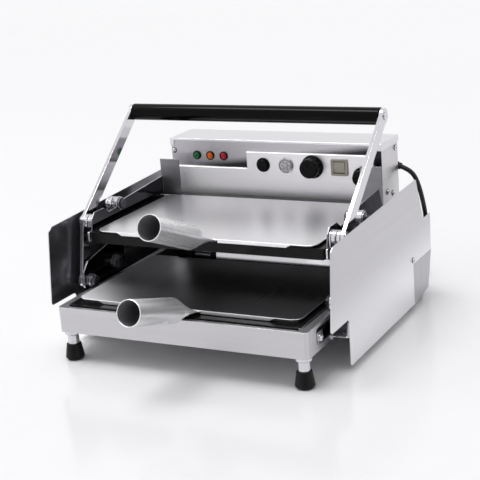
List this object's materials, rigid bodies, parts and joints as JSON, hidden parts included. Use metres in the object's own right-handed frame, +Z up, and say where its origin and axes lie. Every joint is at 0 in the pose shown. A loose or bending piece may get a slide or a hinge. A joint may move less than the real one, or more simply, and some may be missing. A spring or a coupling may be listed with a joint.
{
  "type": "electric burger bun toaster",
  "caption": "Electric double-deck bun toaster: a lever lowers a hot platen on parallel links over sliding trays with tube handles; timer, switch and lamps on a rear box.",
  "frame": {"origin": "on the counter, under the middle of the machine's box", "axes": "+X to the operator's right, -Y towards the operator, +Z up"},
  "size_m": [0.4914, 0.7461, 0.3575],
  "materials": {
    "satin_steel": "satin stainless sheet",
    "tray_steel": "polished stainless sheet",
    "tube_steel": "satin stainless tube",
    "cover_steel": "satin outside, polished inside",
    "arm_steel": "polished flat bar",
    "zinc_steel": "bright zinc-plated",
    "black_enamel": "heat-proof black",
    "cast_plate": "grey plate",
    "black_grip": "gloss black",
    "black_plastic": "satin black",
    "beige_plastic": "satin beige",
    "green_lens": "clear green",
    "amber_lens": "clear amber",
    "red_lens": "clear red",
    "black_rubber": "matt black",
    "cord_rubber": "matt black"
  },
  "bodies": {
    "body": {"pivot_plates": "satin_steel", "box_risers": "satin_steel", "base_frame": "satin_steel", "base_bottom_cover": "satin_steel", "steel_feet": "zinc_steel", "rubber_feet": "black_rubber", "lower_platen_pan": "satin_steel", "pan_bearers": "cast_plate", "side_brackets": "zinc_steel", "wiring_cover": "black_enamel", "wiring_conduit": "zinc_steel", "lower_hot_plate": "cast_plate", "lower_heating_element": "cast_plate", "link_stops": "black_rubber", "base_pivot_bolts": "zinc_steel", "base_pivot_nuts": "zinc_steel", "screws": "zinc_steel", "rear_housing": "satin_steel", "rear_panel": "satin_steel", "control_box": "satin_steel", "control_box_lid": "satin_steel", "front_panel": "satin_steel", "control_bezels": "black_plastic", "green_lens": "green_lens", "amber_lens": "amber_lens", "red_lens": "red_lens", "buzzer": "zinc_steel", "timer_body": "black_plastic", "thermostat_body": "black_plastic", "rocker_frame": "black_plastic", "terminal_block": "black_plastic", "cable_gland": "black_rubber", "cord_free": "cord_rubber", "cord_coil": "cord_rubber", "plug": "cord_rubber", "right_side_cover": "cover_steel", "left_side_cover": "cover_steel"},
    "handle": {"left_arm": "arm_steel", "right_arm": "arm_steel", "grip_sleeve": "black_grip", "grip_rod": "arm_steel", "grip_bolts": "zinc_steel"},
    "platen": {"upper_platen_casing": "black_enamel", "upper_face_plate": "cast_plate", "upper_deck_plate": "cast_plate", "upper_heating_element": "cast_plate", "platen_brackets": "satin_steel", "platen_pivot_bolts": "zinc_steel", "platen_pivot_nuts": "zinc_steel", "left_bun_guard": "satin_steel", "right_bun_guard": "satin_steel"},
    "rear_links": {"rear_links": "zinc_steel"},
    "upper_tray": {"upper_tray": "tray_steel", "upper_tray_handle": "tube_steel"},
    "lower_tray": {"lower_tray": "tray_steel", "lower_tray_handle": "tube_steel"},
    "timer_knob": {"timer_knob": "black_plastic"},
    "thermostat_knob": {"thermostat_knob": "black_plastic"},
    "start_button": {"start_button": "black_plastic"},
    "power_rocker": {"power_rocker": "beige_plastic"}
  },
  "joints": [
    {"name": "handle_swing", "type": "hinge", "parent": "body", "child": "handle", "pos_m": [0, -0.06513, 0.102], "axis": [1, 0, 0], "range_deg": [0, 65.79]},
    {"name": "platen_level", "type": "hinge", "parent": "handle", "child": "platen", "pos_m": [0, -0.04513, 0.197], "axis": [1, 0, 0], "range_deg": [-65.79, 0]},
    {"name": "rear_link_swing", "type": "hinge", "parent": "body", "child": "rear_links", "pos_m": [0, 0.01087, 0.112], "axis": [1, 0, 0], "range_deg": [0, 65.79]},
    {"name": "upper_tray_slide", "type": "slide", "parent": "platen", "child": "upper_tray", "axis": [0, -1, 0], "range_m": [0, 0.2]},
    {"name": "lower_tray_slide", "type": "slide", "parent": "body", "child": "lower_tray", "axis": [0, -1, 0], "range_m": [0, 0.2]},
    {"name": "timer_turn", "type": "hinge", "parent": "body", "child": "timer_knob", "pos_m": [0.077, 0.18137, 0.243], "axis": [0, 1, 0], "range_deg": [0, 300]},
    {"name": "thermostat_turn", "type": "hinge", "parent": "body", "child": "thermostat_knob", "pos_m": [0.166, 0.18337, 0.229], "axis": [0, 1, 0], "range_deg": [0, 270]},
    {"name": "start_button_press", "type": "slide", "parent": "body", "child": "start_button", "axis": [0, 1, 0], "range_m": [0, 0.003], "stiffness_N_per_m": 400, "springref_m": -0.002},
    {"name": "power_rocker_tilt", "type": "hinge", "parent": "body", "child": "power_rocker", "pos_m": [0.126, 0.19137, 0.2435], "axis": [1, 0, 0], "range_deg": [-18, 0]}
  ],
  "couplings": [
    {"joint": "platen_level", "follows": "handle_swing", "ratio": -1},
    {"joint": "rear_link_swing", "follows": "handle_swing", "ratio": 1}
  ]
}
